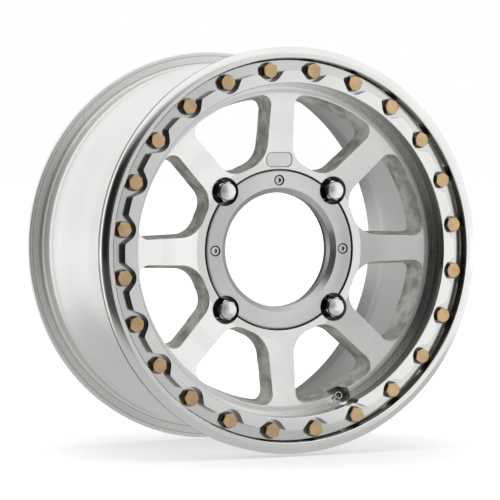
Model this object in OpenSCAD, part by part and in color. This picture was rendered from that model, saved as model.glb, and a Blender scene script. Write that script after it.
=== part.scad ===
// Beadlock wheel for a light off-road vehicle, in millimetres.
// The wheel's axis is the Y axis. The street face looks towards -Y and the vehicle is at +Y.
// The origin is the centre of the hub mounting face, and +Z is up.

/* [Rim] */
// Diameter of the tyre bead seats
bead_seat_d = 354.8; // [340:0.2:380]
// Width between the front seat's edge and the rear flange
rim_width = 177.8; // [160:0.2:210]
// How far the rim's middle plane lies behind the hub mounting face
rim_offset = 38; // [20:0.5:48]
// Height of the rear flange above the bead seat
flange_h = 14.6; // [10:0.2:20]
// Thickness of the rear flange
flange_t = 6.6; // [5:0.2:9]
// Width of each bead seat
bead_seat_w = 15.5; // [12:0.5:20]
// Height of the safety humps above the bead seats
hump_h = 1.2; // [0.6:0.1:2]
// Depth of the drop centre below the bead seats
drop_depth = 17.4; // [14:0.2:22]
// Length of the rear slope into the drop centre
rear_slope = 62; // [40:1:80]
// Length of the front slope into the drop centre
front_slope = 18; // [12:1:26]
// Wall of the barrel at the drop centre
barrel_wall = 8; // [6:0.2:10]
// Wall of the barrel under the rear bead seat
seat_wall = 7; // [5:0.2:8]
// How far the ring seat stands out in front of the front bead seat
bead_gap = 8.2; // [6:0.2:12]
// Width of the shoulder outside the ring seat
seat_shoulder = 2.9; // [1.5:0.1:5]

/* [Face and spokes] */
// How far the outer end of the face lies behind the ring seat
face_recess = 8.5; // [6:0.5:14]
// Width of the machined steps between the ring's bore and the face
step_band = 3.1; // [2:0.1:5]
// Width of the flat band outside the windows
face_band = 6.1; // [4:0.1:10]
// Thickness of the hub from its mounting face to its front
hub_t = 40.1; // [36:0.1:44]
// Width of the flat front round the lug holes, outside the lug circle
hub_flat = 6; // [3:0.5:10]
// Draft of the windows' walls, in degrees: the windows narrow towards the back
window_draft = 8; // [2:0.5:9]
// Half the width of a straight spoke in front, carried in to the axis
straight_half = 12; // [10:0.1:14]
// Taper of each side of a straight spoke, in degrees
straight_taper = 0.2; // [-1:0.1:2]
// Half the width of a diagonal spoke in front, carried in to the axis
diagonal_half = 11.3; // [10:0.1:13]
// Taper of each side of a diagonal spoke, in degrees
diagonal_taper = -0.3; // [-1:0.1:1]
// Gap between the lug circle and the windows
window_gap = 2.4; // [1:0.1:6]
// Corner radius of a window outside, beside a straight spoke
corner_out_straight = 10; // [8:0.5:13]
// Corner radius of a window outside, beside a diagonal spoke
corner_out_diagonal = 11; // [8:0.5:13]
// Corner radius of a window inside, beside a straight spoke
corner_in_straight = 26.5; // [16:0.5:28]
// Corner radius of a window inside, beside a diagonal spoke
corner_in_diagonal = 21.5; // [14:0.5:24]
// Thickness of a spoke along the axis, near the hub
spoke_t_in = 21.5; // [18:0.5:26]
// Thickness of a spoke along the axis, near the rim
spoke_t_out = 22; // [18:0.5:26]
// Depth of a window's outer wall along the axis
window_wall = 27.5; // [24:0.5:32]
// Length of the slope behind each spoke, outwards from the lug circle
spoke_slope_w = 32; // [24:1:40]
// Width of the thicker root of each spoke at the rim
spoke_root_w = 13; // [8:0.5:18]

/* [Hub] */
// Diameter of the lug circle
lug_circle_d = 156; // [150:1:166]
// Diameter of the stud holes
stud_hole_d = 14.5; // [13:0.1:16]
// Diameter of the lug pockets
lug_pocket_d = 26.6; // [25:0.2:29]
// Thickness of metal under the lug nuts' seats
lug_seat_t = 13.4; // [10:0.2:17]
// Width of metal between the lug circle and the hub bore
hub_bore_inset = 12; // [11.5:0.5:18]
// Depth of the hub bore
hub_bore_depth = 15; // [10:0.5:20]
// Flat width of the hub mounting face outside the hub bore
pad_w = 10; // [8:0.5:12]
// Slope of the hub's back edge down to the window ends, along the axis
pad_drop = 17; // [14:0.5:20]
// Radius of the round boss behind each lug hole
lug_boss_r = 15.5; // [13:0.5:18]

/* [Centre ring] */
// Gap between the centre ring's edge and the lug circle
centre_ring_inset = 3.4; // [2.5:0.1:5]
// Width of the fine groove round the centre ring
centre_ring_gap = 0.6; // [0.3:0.1:1]
// Width of the centre ring, from its opening to its edge
centre_ring_w = 20.8; // [18:0.1:24]
// Width of the centre ring's rounded edge
centre_edge_w = 2.4; // [0.5:0.1:3]
// Depth of the centre ring's rounded edge
centre_edge_h = 1.4; // [0.3:0.1:3]
// Thickness of the centre ring
centre_ring_t = 8; // [7:0.5:10]
// Width of the chamfer round the opening
centre_chamfer_w = 4.7; // [2:0.1:5.5]
// Depth of the chamfer round the opening
centre_chamfer_h = 4; // [2:0.1:5]
// Length of the centre ring's locating spigot
spigot_l = 5; // [3:0.5:8]
// Wall of the centre ring's locating spigot
spigot_wall = 3.1; // [2:0.1:4]
// Distance of the centre ring's screws from the ring's edge
cap_screw_inset = 9.3; // [7.5:0.1:9.8]
// Diameter of the centre ring screws' heads
cap_head_d = 8.5; // [8:0.1:9]
// Height of the centre ring screws' heads
cap_head_h = 5; // [4:0.1:5.2]
// Diameter of the centre ring screws' threads
cap_thread_d = 5; // [4:0.1:6]
// Length of the centre ring screws under the head
cap_length = 12; // [8:0.5:16]
// Width across the flats of the screws' sockets
cap_socket = 4; // [3:0.1:4.5]

/* [Beadlock ring] */
// Height of the ring's outer edge above the bead seat
ring_edge_h = 12; // [9:0.2:16]
// Width of the ring inside the bead seat's diameter
ring_band = 21.7; // [20.5:0.1:24]
// Thickness of the ring at its raised inner band
ring_land_t = 13.8; // [11:0.2:16]
// Thickness of the ring at its outer lip
ring_lip_t = 15.8; // [13:0.2:19]
// Thickness of the ring under the bolts
ring_floor_t = 5.4; // [4:0.2:7]
// Width of the raised inner band
land_w = 11.3; // [10:0.1:12.5]
// Width of the outer lip, from its inner wall to the ring's edge
lip_w = 11.2; // [9:0.2:12]
// Width of the flat crest of the lip
crest_w = 3.6; // [2:0.1:5]
// Height of the ring's outer edge band
edge_band_h = 6.6; // [4:0.2:8]
// Radius of the pocket round each bolt
bolt_pocket_r = 10.8; // [9.5:0.1:11.5]
// Radius of the rounded corners between the pockets
land_corner_r = 3; // [1:0.1:3.5]

/* [Beadlock bolts] */
// Number of beadlock bolts
bolt_count = 24; // [20:1:24]
// Distance of the bolt circle inside the bead seat
bolt_inset = 9; // [8.5:0.1:10]
// Diameter of the bolts' threads
bolt_d = 8; // [6:0.5:9]
// Length of the bolts under the head
bolt_length = 24; // [18:0.5:24]
// Width across the flats of the bolts' heads
bolt_flats = 13; // [11:0.1:13.5]
// Height of the bolts' heads
bolt_head_h = 6; // [4:0.1:7]
// Diameter of the washers
washer_d = 16; // [14:0.1:17]
// Thickness of the washers
washer_t = 1.6; // [1:0.1:2.2]

/* [Lug nuts] */
// Width across the flats of the lug nuts
lug_flats = 17; // [16:0.1:19]
// Largest diameter of the lug nuts' conical seat
lug_cone_d = 22; // [20:0.2:23]
// Length of the lug nuts
lug_length = 35; // [30:0.5:38]
// Diameter of the thread in the lug nuts
lug_thread_d = 12; // [10:0.5:12.5]
// Depth of the thread in the lug nuts
lug_thread_depth = 25; // [15:0.5:27]

/* [Badge] */
// Width of the plain badge
badge_w = 25.2; // [20:0.1:26]
// Height of the plain badge
badge_h = 12.9; // [10:0.1:14]
// Corner radius of the badge
badge_corner = 5; // [2:0.1:5]
// Thickness of the badge
badge_t = 2; // [1.4:0.1:3]
// Distance of the badge's middle from the lug circle
badge_out = 6.7; // [6.5:0.1:9]
// Width of the groove round the badge
badge_groove = 0.6; // [0.3:0.1:1]
// Width of the boss round the groove
badge_rim = 0.8; // [0.5:0.1:1.5]

/* [Valve] */
// Window that the valve sits in, counted clockwise from the top and seen from the front
valve_window = 4; // [1, 2, 3, 4, 5, 6, 7, 8]
// Lean of the valve from the wheel's axis, in degrees
valve_lean = 25; // [20:1:28]
// Distance of the valve's mouth inside the machined steps
valve_inset = 2.6; // [1:0.1:4]
// Depth of the valve's mouth behind the face's outer end
valve_depth = 4.1; // [2:0.1:6]
// Radius of the pocket round the valve
valve_pocket_r = 9.6; // [8.6:0.1:9.8]
// Depth of the valve pocket's floor behind the mouth
valve_floor = 18; // [16:0.5:20]
// Thickness of the wall that the valve clamps
valve_wall = 5.4; // [4:0.2:7]
// Outer diameter of the valve stem
stem_d = 7.7; // [7:0.1:8.2]
// Diameter of the stem's mouth
stem_bore_d = 5.2; // [5:0.1:5.8]
// Diameter of the valve's head and rubber seal
stem_head_d = 15.6; // [13:0.2:16.6]
// Thickness of the valve's head
stem_head_t = 2.8; // [2:0.1:4]
// Thickness of the rubber seal
grommet_t = 2.4; // [1.5:0.1:3.5]
// Width across the flats of the valve's nut
valve_nut_flats = 12; // [11:0.1:13]
// Height of the valve's nut
valve_nut_h = 4; // [3:0.1:6]
// Diameter of the valve's washer
valve_washer_d = 15; // [13.4:0.1:16]
// Thickness of the valve's washer
valve_washer_t = 1.2; // [0.8:0.1:2]
// Travel of the valve pin
pin_travel = 1.2; // [0.8:0.1:1.6]
// Diameter of the valve pin
pin_d = 1.6; // [1.2:0.1:1.8]
// Wire diameter of the valve spring
spring_wire_d = 0.4; // [0.3:0.05:0.5]
// Turns of the valve spring
spring_turns = 6; // [4:0.5:7]

/* [Fits] */
// Gap between a thread and its hole, on the radius
thread_gap = 0.05; // [0.02:0.01:0.2]
// Gap between a bolt and the hole that it passes through, on the radius
pass_gap = 0.3; // [0.1:0.05:0.5]
// Gap of a located fit, on the radius
locate_gap = 0.1; // [0.05:0.01:0.2]
// Gap of a sliding fit, on the radius
slide_gap = 0.08; // [0.05:0.01:0.1]

/* [Hidden] */
$fn = 96;
// A cut runs this far past the surface that it leaves
past = 1;

// Main radii, from the bead seat inwards and outwards
bead_r = bead_seat_d/2;
flange_r = bead_r + flange_h;
drop_r = bead_r - drop_depth;
barrel_r = drop_r - barrel_wall;
ring_bore_r = bead_r - ring_band;
ring_r = bead_r + ring_edge_h;
bolt_r = bead_r - bolt_inset;
face_r = ring_bore_r - step_band;
window_out_r = face_r - face_band;
lug_r = lug_circle_d/2;
window_in_r = lug_r + window_gap;
hub_flat_r = lug_r + hub_flat;
hub_bore_r = lug_r - hub_bore_inset;
pad_r = hub_bore_r + pad_w;
centre_ring_r = lug_r - centre_ring_inset;
centre_hole_r = centre_ring_r - centre_ring_w;
groove_r = centre_ring_r + centre_ring_gap;
spigot_r = centre_hole_r + spigot_wall;
lip_r = spigot_r + locate_gap;

// Main planes along the wheel's axis
rear_z = rim_offset + rim_width/2;
front_z = rim_offset - rim_width/2;
ring_z = front_z - bead_gap;
face_z = ring_z + face_recess;
hub_z = -hub_t;
window_back_z = face_z + window_wall;
face_slope = atan((hub_z - face_z)/(window_out_r - hub_flat_r));

// Straight spokes and diagonal spokes take turns round the wheel, four of each. The lug nuts lie on
// the diagonal ones, and the screws of the centre ring on three straight ones.
spoke_pairs = 4;
diagonal = 180/spoke_pairs;
screw_clocks = [-90, 0, 90];
valve_clock = (valve_window - 0.5)*diagonal;

// Points along a round stretch: c is its centre, r its radius, from angle a to b in n steps
function arc(c, r, a, b, n) = [for (i = [0:n]) c + r*[cos(a + (b - a)*i/n), sin(a + (b - a)*i/n)]];
// A smooth rise from 0 to 1
function ease(t) = (1 - cos(180*t))/2;
// Points of a smooth slope from p to q in n steps, without its ends
function slope(p, q, n) = [for (i = [1:n - 1]) [p[0] + (q[0] - p[0])*ease(i/n), p[1] + (q[1] - p[1])*i/n]];

// Turns a shape that was drawn about Z so that its axis lies along Y
module about_axis() {
    rotate([-90, 0, 0]) children();
}

// Places a shape at a clock angle seen from the front, at radius r
module at_clock(angle, r) {
    rotate([0, 0, angle - 90]) translate([r, 0, 0]) children();
}

// One copy for each place round a circle
module around(count, first) {
    for (i = [0:count - 1]) rotate([0, 0, first + 360*i/count]) children();
}

// A straight hole or rod between two planes
module rod(r, z1, z2) {
    translate([0, 0, z1]) cylinder(r = r, h = z2 - z1);
}

// A hexagonal bar between two planes, by its width across the flats
module hex_bar(flats, z1, z2) {
    translate([0, 0, z1]) cylinder(r = flats/sqrt(3), h = z2 - z1, $fn = 6);
}

// Section of the casting: the hub, the disc of the spokes and the barrel
flange_round = 1.6;
flange_foot = 4;
hump_w = 5;
inner_step = 1.5;
seat_edge = 1.5;
rear_hump_z = rear_z - flange_foot - bead_seat_w;
front_hump_z = front_z + bead_seat_w;
rear_drop_z = rear_hump_z - hump_w - rear_slope;
front_drop_z = front_hump_z + hump_w + front_slope;

function rear_flange_points() = concat(
    [[bead_r - seat_wall, rear_z - flange_foot]],
    slope([bead_r - seat_wall, rear_z - flange_foot], [bead_r + past, rear_z + flange_t], 6),
    [[bead_r + past, rear_z + flange_t]],
    arc([flange_r - flange_round, rear_z + flange_t - flange_round], flange_round, 90, 0, 4),
    arc([flange_r - flange_round, rear_z + flange_round], flange_round, 0, -90, 4),
    arc([bead_r + flange_foot, rear_z - flange_foot], flange_foot, 90, 180, 6));

function rear_seat_points() = concat(
    [[bead_r, rear_hump_z], [bead_r + hump_h, rear_hump_z - hump_w/2], [bead_r, rear_hump_z - hump_w]],
    slope([bead_r, rear_hump_z - hump_w], [drop_r, rear_drop_z], 12),
    [[drop_r, rear_drop_z]]);

function front_seat_points() = concat(
    [[drop_r, front_drop_z]],
    slope([drop_r, front_drop_z], [bead_r, front_hump_z + hump_w], 8),
    [[bead_r, front_hump_z + hump_w], [bead_r + hump_h, front_hump_z + hump_w/2], [bead_r, front_hump_z],
     [bead_r, front_z + seat_edge], [bead_r - seat_edge, front_z],
     [bead_r - seat_shoulder, front_z], [bead_r - seat_shoulder, ring_z]]);

// Fine machined steps between the ring's seat and the face
step_count = 4;
step_start = 0.9;
function step_points() = let (
    w = (step_band - step_start)/step_count,
    h = face_recess/(step_count + 0.5)) concat(
    [[ring_bore_r - step_start, ring_z]],
    [for (i = [0:step_count - 1], j = [0, 1])
        [ring_bore_r - step_start - w*(i + j), ring_z + h*(i + 0.75)]],
    [[face_r, face_z]]);

// Front of the disc, from the flat band in to the hub bore
face_rim = 0.4;
groove_edge = 0.8;
function front_points() = [
    [window_out_r - face_rim, face_z],
    [hub_flat_r, hub_z],
    [groove_r + groove_edge, hub_z],
    [groove_r, hub_z + groove_edge],
    [groove_r, hub_z + centre_ring_t],
    [lip_r, hub_z + centre_ring_t],
    [lip_r, -hub_bore_depth],
    [hub_bore_r, -hub_bore_depth],
    [hub_bore_r, 0]];

// Height of the spokes' front at radius r
function spoke_front(r) = hub_z - (r - hub_flat_r)*tan(face_slope);

// Back of the disc, from the mounting face out to the barrel's inner wall. Next to the windows the
// barrel keeps a band as cast, which ends in a small step.
hub_lip = 2;
hub_back = [window_in_r + hub_lip, -pad_drop];
spoke_in = [lug_r + spoke_slope_w, spoke_front(lug_r + spoke_slope_w) + spoke_t_in];
spoke_out = [window_out_r - spoke_root_w, spoke_front(window_out_r - spoke_root_w) + spoke_t_out];
window_back = [window_out_r - window_wall*tan(window_draft), window_back_z];
cast_lip = 8;
cast_band_w = 26;
cast_band_draft = 0.6;
seat_taper = 1;
barrel_end = [bead_r - seat_wall - seat_taper, rear_hump_z - hump_w];
function back_points() = concat(
    [[pad_r, 0], hub_back],
    slope(hub_back, spoke_in, 6),
    [spoke_in, spoke_out],
    slope(spoke_out, window_back, 4),
    [window_back,
     [barrel_r - inner_step - cast_band_draft, window_back_z + cast_lip],
     [barrel_r - inner_step, window_back_z + cast_band_w],
     [barrel_r, window_back_z + cast_band_w],
     [barrel_r, rear_drop_z]],
    slope([barrel_r, rear_drop_z], barrel_end, 12),
    [barrel_end]);

module wheel_section() {
    polygon(concat(back_points(), rear_flange_points(), rear_seat_points(), front_seat_points(),
        step_points(), front_points()));
}

// One window lies between the straight spoke at the top and the next diagonal spoke. Its outline is
// true at the outer end of the face, and its walls lean in towards the back.
// us and ud run out along the spokes' sides, ns and nd point from the spokes into the window.
us = [sin(-straight_taper), cos(-straight_taper)];
ns = [cos(-straight_taper), -sin(-straight_taper)];
ud = [sin(diagonal + diagonal_taper), cos(diagonal + diagonal_taper)];
nd = [-cos(diagonal + diagonal_taper), sin(diagonal + diagonal_taper)];
// A window is cut from before the face to a plane behind the spokes
window_front = ring_z;
window_spare = 7;
window_end = window_spare - pad_drop;
// How far the walls have leant in at height z
function lean_in(z) = (z - face_z)*tan(window_draft);
// A rounded corner runs this little past the surfaces that it joins, so that they cross
blend = 0.01;
// Centre of a corner of radius c beside a spoke's side, at distance r from the axis
function seat(n, u, half, r, c) = let (k = half + c - blend) n*k + u*sqrt(r*r - k*k);

// Sharp corner from its rounding's centre c, with u and v towards its two sides
function sharp_corner(c, u, v, reach) = [c, c + u*reach, c + (u + v)*reach/(1 + u*v), c + v*reach];
corner_reach = 5;

// Round body about the axis or about a corner's centre, that leans in by the draft
module drafted_rod(r, sign, more) {
    translate([0, 0, window_front - more]) cylinder(h = window_end - window_front + 2*more,
        r1 = r - sign*lean_in(window_front - more), r2 = r - sign*lean_in(window_end + more));
}

// What a rounded corner leaves of a sharp one
module corner_cut(c, r, u, v) {
    difference() {
        translate([0, 0, window_front - past]) linear_extrude(window_end - window_front + 2*past)
            polygon(sharp_corner(c, u, v, r + corner_reach));
        translate([c[0], c[1], 0]) drafted_rod(r, 1, 2*past);
    }
}

module outer_corner(n, u, half, r) {
    c = seat(n, u, half, window_out_r - r + blend, r);
    corner_cut(c, r, -n, c/norm(c));
}

module inner_corner(n, u, half, r) {
    c = seat(n, u, half, window_in_r + r - blend, r);
    corner_cut(c, r, -n, -c/norm(c));
}

// Everything beside a spoke that runs up the Y axis, past its leaning side
module beside_spoke(half) {
    span = 1.2*window_out_r;
    translate([half, 0, face_z]) rotate([0, window_draft, 0]) translate([0, 0, -span/2])
        cube([span, span, span]);
}

module window() {
    difference() {
        intersection() {
            drafted_rod(window_out_r, 1, 0);
            rotate([0, 0, straight_taper]) beside_spoke(straight_half);
            rotate([0, 0, -diagonal - diagonal_taper]) mirror([1, 0, 0]) beside_spoke(diagonal_half);
        }
        drafted_rod(window_in_r, -1, past);
        outer_corner(ns, us, straight_half, corner_out_straight);
        outer_corner(nd, ud, diagonal_half, corner_out_diagonal);
        inner_corner(ns, us, straight_half, corner_in_straight);
        inner_corner(nd, ud, diagonal_half, corner_in_diagonal);
    }
}

// The eight windows, as pairs on both sides of each straight spoke
module windows() {
    for (i = [0:spoke_pairs - 1], side = [0, 1])
        rotate([0, 0, 2*diagonal*i]) mirror([side, 0, 0]) window();
}

// Frame of the badge: its middle on the spoke's front, with Z out of the face. It tilts half as much
// as the spoke's front, because its lower half lies over the flat part of the hub.
badge_tilt = face_slope/2;
badge_boss = hub_t/4;
module badge_frame() {
    r = lug_r + badge_out;
    at_clock(0, r) translate([0, 0, spoke_front(r)]) rotate([0, badge_tilt, 0]) rotate([180, 0, 0])
        rotate([0, 0, 90]) children();
}

module rounded_plate(w, h, c, t) {
    linear_extrude(t) {
        square([w - 2*c, h], center = true);
        square([w, h - 2*c], center = true);
        for (x = [-1, 1], y = [-1, 1]) translate([x*(w/2 - c), y*(h/2 - c)]) circle(r = c, $fn = 48);
    }
}

// Frame of the valve: Z runs from the mouth in towards the tyre's side
valve_r = face_r - valve_inset;
valve_z = face_z + valve_depth;
module valve_frame() {
    at_clock(valve_clock, valve_r) translate([0, 0, valve_z]) rotate([0, valve_lean, 0]) children();
}
valve_seat = valve_floor + valve_wall;
head_z = valve_seat + grommet_t;
stem_end = head_z + stem_head_t;
spot_face_gap = 1.4;
spot_face_r = stem_head_d/2 + spot_face_gap;
// The ring's bore is relieved next to the valve
valve_relief = 2.8;
valve_relief_r = ring_bore_r + valve_relief - valve_pocket_r;

// Conical seat of the lug nuts: half of 60 degrees
cone_half = 30;
lug_cone_h = (lug_cone_d - stud_hole_d)/2/tan(cone_half);
lug_floor = -lug_seat_t - lug_cone_h;
lug_seat_gap = 0.05;
bolt_end = ring_z - ring_floor_t - washer_t + bolt_length;
cap_floor_gap = 0.5;
cap_floor = hub_z + cap_head_h + cap_floor_gap;
cap_r = centre_ring_r - cap_screw_inset;

// Flat pad behind one stud hole, as wide as the spoke that carries it
pad_side = 2;
module stud_pad() {
    translate([0, 0, hub_z/2]) linear_extrude(-hub_z/2) difference() {
        intersection() {
            translate([lug_r, 0]) circle(r = lug_boss_r);
            square([2*(lug_r + lug_boss_r), 2*(diagonal_half - pad_side)], center = true);
        }
        circle(r = hub_bore_r + pad_side);
    }
}

module wheel() {
    color([0.86, 0.87, 0.85]) about_axis() difference() {
        union() {
            difference() {
                rotate_extrude($fn = 180) wheel_section();
                windows();
            }
            around(spoke_pairs, diagonal) stud_pad();
            badge_frame() translate([0, 0, -badge_boss]) rounded_plate(
                badge_w + 2*(badge_groove + badge_rim), badge_h + 2*(badge_groove + badge_rim),
                badge_corner + badge_groove + badge_rim, badge_boss);
        }
        around(spoke_pairs, diagonal) translate([lug_r, 0, 0]) {
            rod(lug_pocket_d/2, ring_z, lug_floor);
            translate([0, 0, lug_floor - lug_seat_gap])
                cylinder(r1 = lug_cone_d/2, r2 = stud_hole_d/2, h = lug_cone_h);
            rod(stud_hole_d/2, lug_floor, past);
        }
        around(bolt_count, 180/bolt_count) translate([bolt_r, 0, 0])
            rod(bolt_d/2 + thread_gap, ring_z - past, bolt_end + past);
        for (a = screw_clocks) at_clock(a, cap_r)
            rod(cap_thread_d/2 + thread_gap, hub_z, cap_floor + cap_length + past);
        badge_frame() translate([0, 0, -badge_t]) rounded_plate(badge_w + 2*badge_groove,
            badge_h + 2*badge_groove, badge_corner + badge_groove, badge_t + past);
        valve_frame() {
            rod(valve_pocket_r, -valve_floor, valve_floor);
            rod(stem_d/2 + pass_gap, 0, stem_end);
            rod(spot_face_r, valve_seat, stem_end + valve_floor);
        }
    }
}

// Section of the beadlock ring without its raised band. It starts inside the bore, which is cut last.
lip_in_r = ring_r - lip_w;
lip_draft = 0.5;
lip_foot = 1.2;
lip_round = 0.8;
ring_back_round = 4;
bore_spare = 1;
bore_edge = 0.5;
land_top = ring_z - ring_land_t;
lip_top = ring_z - ring_lip_t;
ring_floor = ring_z - ring_floor_t;
land_r = ring_bore_r + land_w;
edge_z = ring_floor - edge_band_h;
// The lip's outer slope is part bulge and part straight
lip_bulge = 0.35;
lip_steps = 6;
function bulged(round_part, t) = lip_bulge*round_part + (1 - lip_bulge)*t;
function lip_points() = let (p = [lip_in_r + lip_draft + lip_round + crest_w, lip_top], q = [ring_r, edge_z])
    [for (i = [0:lip_steps - 1]) let (t = i/lip_steps)
        [p[0] + (q[0] - p[0])*bulged(sin(90*t), t), p[1] + (q[1] - p[1])*bulged(1 - cos(90*t), t)]];
module ring_section() {
    polygon(concat(
        [[ring_bore_r - bore_spare, ring_z], [ring_bore_r - bore_spare, ring_floor],
         [lip_in_r - lip_foot, ring_floor], [lip_in_r, ring_floor - lip_foot],
         [lip_in_r + lip_draft, lip_top + lip_round], [lip_in_r + lip_draft + lip_round, lip_top]],
        lip_points(),
        [[ring_r, edge_z], [ring_r, ring_z - ring_back_round]],
        arc([ring_r - ring_back_round, ring_z - ring_back_round], ring_back_round, 15, 90, 5)));
}

// Outline of the pocket round one bolt, at X = bolt_r: a round floor and two flanks at 45 degrees
// that meet the raised band's edge in rounded corners
flank_n = [-1, 1]/sqrt(2);
flank_u = [1, 1]/sqrt(2);
flank_reach = 1.6;
module pocket_outline() {
    start = flank_n*(bolt_pocket_r - blend);
    span = flank_u*bolt_pocket_r*flank_reach;
    k = bolt_pocket_r + land_corner_r - 2*blend - bolt_r/sqrt(2);
    q = flank_n*k + flank_u*sqrt(pow(land_r - land_corner_r + blend, 2) - k*k);
    translate([bolt_r, 0]) {
        circle(r = bolt_pocket_r);
        polygon([start, start + span, [start[0] + span[0], -start[1] - span[1]], [start[0], -start[1]]]);
    }
    for (side = [0, 1]) mirror([0, side]) difference() {
        polygon(sharp_corner(q, -flank_n, q/norm(q), land_corner_r + corner_reach));
        translate(q) circle(r = land_corner_r);
    }
}

module raised_band() {
    translate([0, 0, land_top]) linear_extrude(ring_land_t - ring_floor_t + bore_spare) difference() {
        circle(r = land_r);
        circle(r = ring_bore_r - bore_spare);
        around(bolt_count, 180/bolt_count) pocket_outline();
    }
}

module beadlock_ring() {
    color([0.88, 0.89, 0.87]) about_axis() difference() {
        union() {
            rotate_extrude($fn = 180) ring_section();
            raised_band();
        }
        rod(ring_bore_r, land_top - past, ring_z + past);
        translate([0, 0, land_top - bore_edge])
            cylinder(r1 = ring_bore_r + 2*bore_edge, r2 = ring_bore_r, h = 2*bore_edge);
        around(bolt_count, 180/bolt_count) translate([bolt_r, 0, 0])
            rod(bolt_d/2 + pass_gap, ring_floor - past, ring_z + past);
        at_clock(valve_clock, valve_relief_r) rod(valve_pocket_r, land_top - past, ring_z + past);
    }
}

// A hexagonal head with its corners turned away at the outer end
head_chamfer = 30;
head_spare = 0.1;
crown_inset = 0.3;
module hex_head(flats, z1, z2) {
    corner_r = flats/sqrt(3) + head_spare;
    crown_r = flats/2 - crown_inset;
    intersection() {
        hex_bar(flats, z1, z2);
        rotate_extrude() polygon([[0, z1], [crown_r, z1],
            [corner_r, z1 + (corner_r - crown_r)*tan(head_chamfer)], [corner_r, z2], [0, z2]]);
    }
}

washer_z = ring_floor - washer_t;
module beadlock_bolts() {
    color([0.78, 0.64, 0.44]) about_axis()
        around(bolt_count, 180/bolt_count) translate([bolt_r, 0, 0]) {
            hex_head(bolt_flats, washer_z - bolt_head_h, washer_z);
            rod(bolt_d/2, washer_z - past/2, bolt_end);
        }
}

module beadlock_washers() {
    color([0.7, 0.6, 0.45]) about_axis()
        around(bolt_count, 180/bolt_count) translate([bolt_r, 0, 0]) difference() {
            rod(washer_d/2, washer_z, ring_floor);
            rod(bolt_d/2 + pass_gap, washer_z - past, ring_floor + past);
        }
}

// Lug nut with a conical seat, a hexagon and a closed, domed end
lug_end = -lug_seat_t - lug_seat_gap;
lug_tip = lug_end - lug_length;
lug_flange = 2.4;
flange_bevel = [2, 1];
lug_dome = 4.5;
dome_inset = 0.1;
dome_edge = 1.6;
dome_rise = 1;
dome_turn = 70;
module lug_nut() {
    cone_z = lug_end - lug_cone_h;
    flange_z = cone_z - lug_flange;
    dome_r = lug_flats/2 - dome_inset;
    dome_low = dome_rise + dome_edge*(1 - sin(dome_turn));
    difference() {
        union() {
            rotate_extrude() polygon([[0, lug_end], [stud_hole_d/2 - lug_seat_gap, lug_end],
                [lug_cone_d/2 - lug_seat_gap, cone_z], [lug_cone_d/2 - lug_seat_gap, flange_z],
                [lug_cone_d/2 - flange_bevel[0], flange_z - flange_bevel[1]],
                [0, flange_z - flange_bevel[1]]]);
            hex_head(lug_flats, lug_tip + lug_dome - past/2, flange_z);
            rotate_extrude() polygon(concat([[0, lug_tip + lug_dome + past], [dome_r, lug_tip + lug_dome + past]],
                arc([dome_r - dome_edge, lug_tip + dome_edge + dome_rise], dome_edge, 0, -dome_turn, 4),
                [for (t = [0.8:-0.2:0.2]) [(dome_r - dome_edge)*t, lug_tip + dome_low*t*t]],
                [[0, lug_tip]]));
        }
        rod(lug_thread_d/2, lug_end - lug_thread_depth, lug_end + past);
    }
}

module lug_nuts() {
    color([0.8, 0.8, 0.8]) about_axis() around(spoke_pairs, diagonal) translate([lug_r, 0, 0]) lug_nut();
}

// Flat ring round the opening, with a chamfer inside, a rounded edge outside and a spigot behind
centre_back = hub_z + centre_ring_t;
edge_steps = 5;
module centre_ring() {
    color([0.82, 0.83, 0.81]) about_axis() difference() {
        rotate_extrude($fn = 180) polygon(concat(
            [[centre_hole_r, hub_z + centre_chamfer_h], [centre_hole_r + centre_chamfer_w, hub_z]],
            [for (i = [0:edge_steps]) [centre_ring_r - centre_edge_w*(1 - sin(90*i/edge_steps)),
                hub_z + centre_edge_h*(1 - cos(90*i/edge_steps))]],
            [[centre_ring_r, centre_back], [spigot_r, centre_back],
             [spigot_r, centre_back + spigot_l], [centre_hole_r, centre_back + spigot_l]]));
        around(spoke_pairs, diagonal) translate([lug_r, 0, 0])
            rod(lug_pocket_d/2 + locate_gap, hub_z - past, centre_back + past);
        for (a = screw_clocks) at_clock(a, cap_r) {
            rod(cap_head_d/2 + cap_head_gap, hub_z - past, cap_floor);
            rod(cap_thread_d/2 + pass_gap, hub_z, centre_back + past);
        }
    }
}

cap_head_gap = 0.85;
cap_edge = 0.5;
cap_socket_depth = 2.6;
module centre_ring_screws() {
    top = cap_floor - cap_head_h;
    color([0.75, 0.75, 0.75]) about_axis() for (a = screw_clocks) at_clock(a, cap_r) difference() {
        union() {
            rotate_extrude() polygon([[0, top], [cap_head_d/2 - cap_edge, top],
                [cap_head_d/2, top + cap_edge], [cap_head_d/2, cap_floor], [0, cap_floor]]);
            rod(cap_thread_d/2, cap_floor - past, cap_floor + cap_length);
        }
        hex_bar(cap_socket, top - past, top + cap_socket_depth);
    }
}

module badge() {
    color([0.8, 0.81, 0.79]) about_axis() badge_frame() translate([0, 0, -badge_t])
        rounded_plate(badge_w, badge_h, badge_corner, badge_t);
}

// Inside of the valve, from its mouth inwards
core_top = 4;
core_seat = 13.2;
chamber_r = 1.9;
spring_seat = 19.5;
air_hole_r = 1.1;
stem_r = stem_d/2;
stem_bore_r = stem_bore_d/2;
mouth_edge = 0.5;
module valve_stem() {
    color([0.83, 0.83, 0.82]) about_axis() valve_frame() difference() {
        rotate_extrude() polygon([[0, 0], [stem_r - mouth_edge, 0], [stem_r, mouth_edge], [stem_r, head_z],
            [stem_head_d/2, head_z], [stem_head_d/2, stem_end - mouth_edge],
            [stem_head_d/2 - mouth_edge, stem_end], [0, stem_end]]);
        rod(stem_bore_r, -past, core_seat);
        rod(chamber_r, core_top, spring_seat);
        rod(air_hole_r, core_top, stem_end + past);
    }
}

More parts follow.
